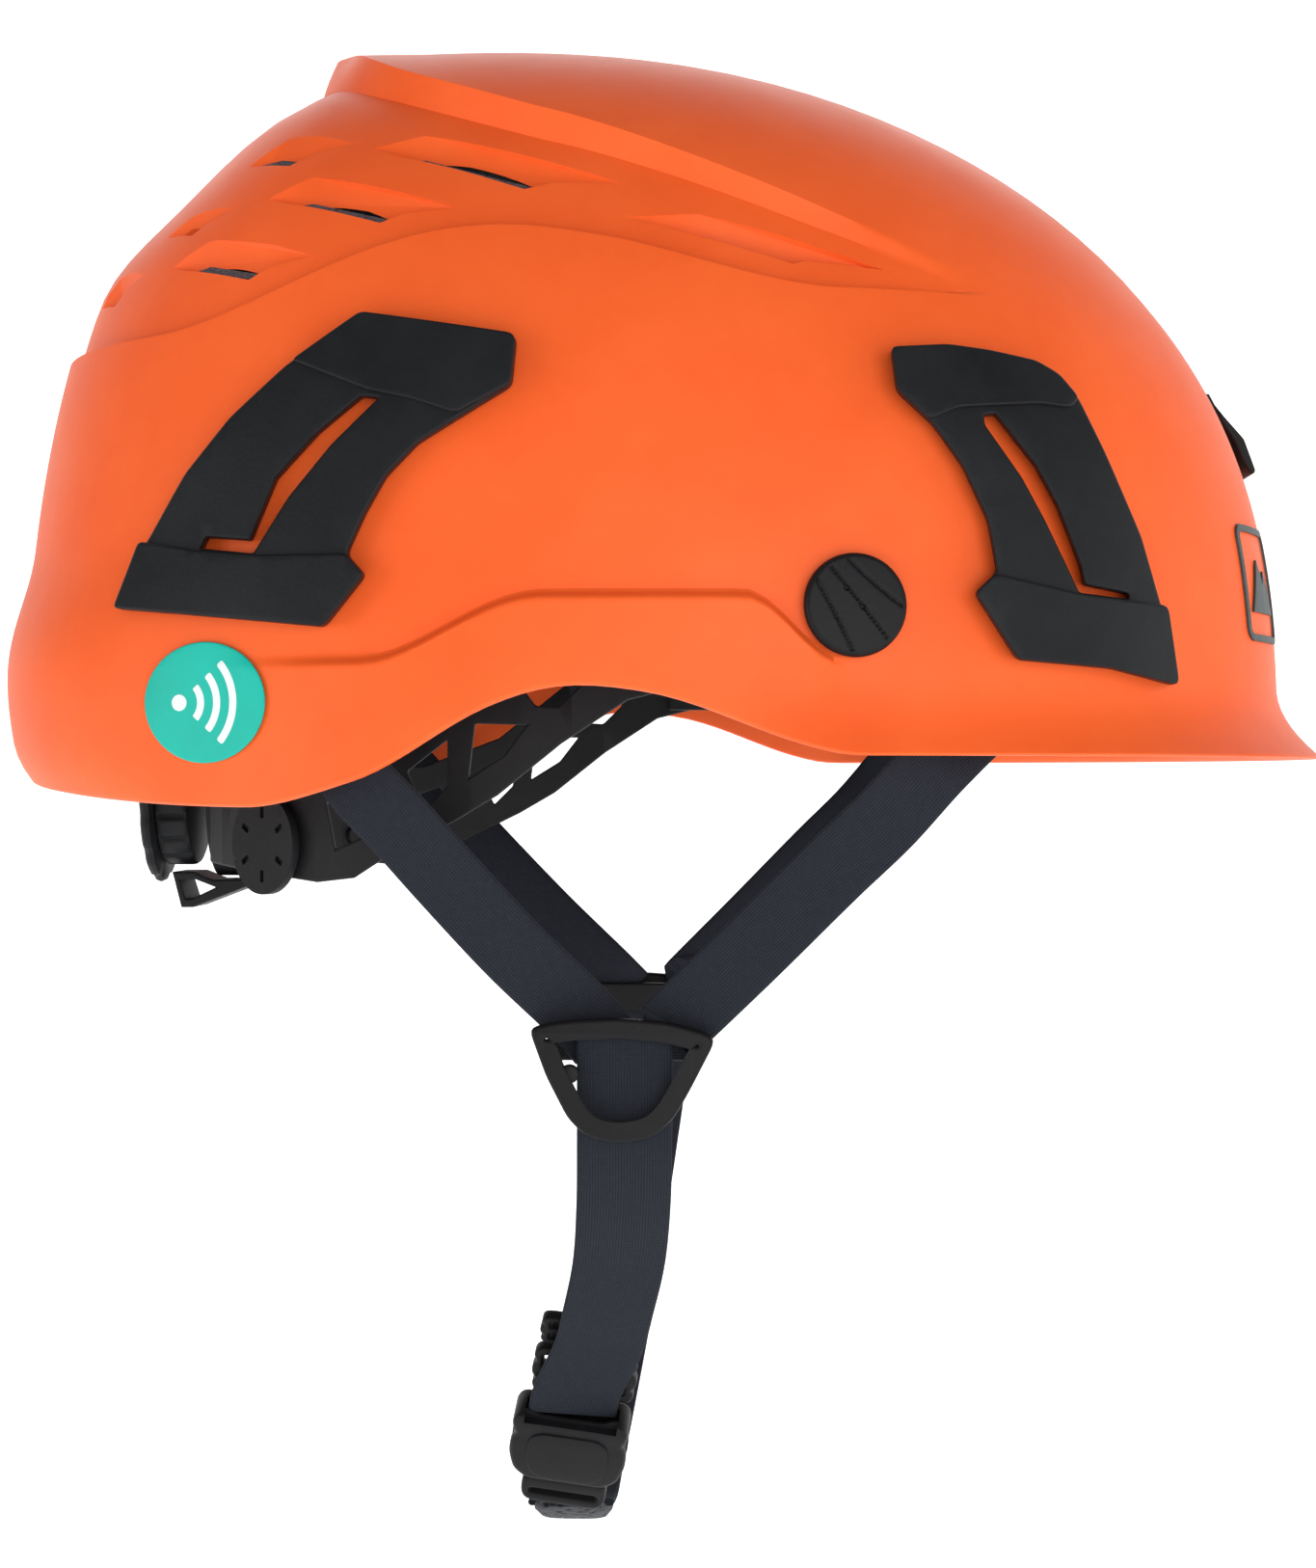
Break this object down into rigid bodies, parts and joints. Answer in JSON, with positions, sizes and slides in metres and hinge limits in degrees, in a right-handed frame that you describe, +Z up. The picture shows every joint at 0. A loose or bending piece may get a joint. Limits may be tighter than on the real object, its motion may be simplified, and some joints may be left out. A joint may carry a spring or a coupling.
{
  "type": "climbing helmet",
  "caption": "Vented hard-shell climbing helmet with foam liner, headlamp clips, ratchet-adjusted head cradle and a chin harness with side-release buckle.",
  "frame": {"origin": "centre of the head opening, level with the lower edge of the front brim", "axes": "+X to the wearer's front, +Y to the wearer's left, +Z up"},
  "size_m": [0.2854, 0.218, 0.3207],
  "materials": {
    "orange_shell": "satin moulded plastic",
    "foam": "moulded foam beads",
    "black_plastic": "fine-grained plastic",
    "pad_cloth": "brushed cloth over foam",
    "webbing": "woven polyester webbing",
    "vent_screen": "woven screen",
    "teal_tag": "printed plastic",
    "grey_badge": "printed film",
    "steel": "zinc-plated"
  },
  "bodies": {
    "helmet": {"shell": "orange_shell", "liner": "foam", "vent_mesh_left": "vent_screen", "vent_mesh_right": "vent_screen", "crown_pad": "pad_cloth", "side_pads": "pad_cloth", "emblem": "grey_badge", "tag_disc": "teal_tag", "lamp_hook": "black_plastic", "clip_front_left": "black_plastic", "clip_front_right": "black_plastic", "clip_rear_left": "black_plastic", "clip_rear_right": "black_plastic", "plug_socket_left": "black_plastic", "plug_socket_right": "black_plastic", "headband": "black_plastic", "headband_posts": "black_plastic", "brow_pad": "pad_cloth", "pivot_pin_left": "steel", "pivot_pin_right": "steel", "anchor_front_left": "black_plastic", "anchor_front_right": "black_plastic", "anchor_rear_left": "black_plastic", "anchor_rear_right": "black_plastic", "strap_front_left": "webbing", "strap_front_right": "webbing", "strap_rear_left": "webbing", "strap_rear_right": "webbing"},
    "arms": {"arm_left": "black_plastic", "arm_right": "black_plastic", "size_disc_left": "black_plastic", "size_disc_right": "black_plastic", "rack_left": "black_plastic", "rack_right": "black_plastic"},
    "cradle": {"ratchet_housing": "black_plastic", "ratchet_cover": "black_plastic", "knob_guard": "black_plastic", "nape_pad": "pad_cloth"},
    "knob": {"knob": "black_plastic", "knob_face": "black_plastic", "pinion": "steel"},
    "chin_loop": {"yoke_left": "black_plastic", "yoke_right": "black_plastic", "chin_strap_left": "webbing", "chin_strap_right": "webbing", "strap_adjuster": "black_plastic", "strap_keeper": "black_plastic", "buckle_socket": "black_plastic"},
    "insert": {"buckle_insert": "black_plastic", "chin_pad": "pad_cloth"},
    "prong_front": {"prong_front": "black_plastic"},
    "prong_rear": {"prong_rear": "black_plastic"},
    "plug_left": {"plug_left": "black_plastic"},
    "plug_right": {"plug_right": "black_plastic"}
  },
  "joints": [
    {"name": "cradle_tilt", "type": "hinge", "parent": "helmet", "child": "arms", "pos_m": [0.006, 0, 0.022], "axis": [0, 1, 0], "range_deg": [-8, 12]},
    {"name": "cradle_size", "type": "slide", "parent": "arms", "child": "cradle", "axis": [1, 0, 0], "range_m": [0, 0.01], "deforming": ["rack_left", "rack_right"]},
    {"name": "knob_turn", "type": "hinge", "parent": "cradle", "child": "knob", "pos_m": [-0.1, 0, -0.007], "axis": [1, 0, 0], "range_deg": [0, 270]},
    {"name": "chin_swing", "type": "hinge", "parent": "helmet", "child": "chin_loop", "pos_m": [0, 0, 0.006], "axis": [0, 1, 0], "range_deg": [-15, 20], "deforming": ["strap_front_left", "strap_front_right", "strap_rear_left", "strap_rear_right"]},
    {"name": "buckle_release", "type": "slide", "parent": "chin_loop", "child": "insert", "axis": [-0.1205, 0.5, -0.8576], "range_m": [0, 0.016], "deforming": ["chin_strap_left"]},
    {"name": "prong_front_press", "type": "slide", "parent": "insert", "child": "prong_front", "axis": [-0.9903, 0, 0.1392], "range_m": [0, 0.002], "stiffness_N_per_m": 300},
    {"name": "prong_rear_press", "type": "slide", "parent": "insert", "child": "prong_rear", "axis": [0.9903, 0, -0.1392], "range_m": [0, 0.002], "stiffness_N_per_m": 300},
    {"name": "plug_left_pull", "type": "slide", "parent": "helmet", "child": "plug_left", "axis": [0.1905, 0.9797, 0.0628], "range_m": [0, 0.008]},
    {"name": "plug_right_pull", "type": "slide", "parent": "helmet", "child": "plug_right", "axis": [0.1905, -0.9797, 0.0628], "range_m": [0, 0.008]}
  ],
  "couplings": [
    {"joint": "knob_turn", "follows": "cradle_size", "rad_per_m": 471.2}
  ]
}
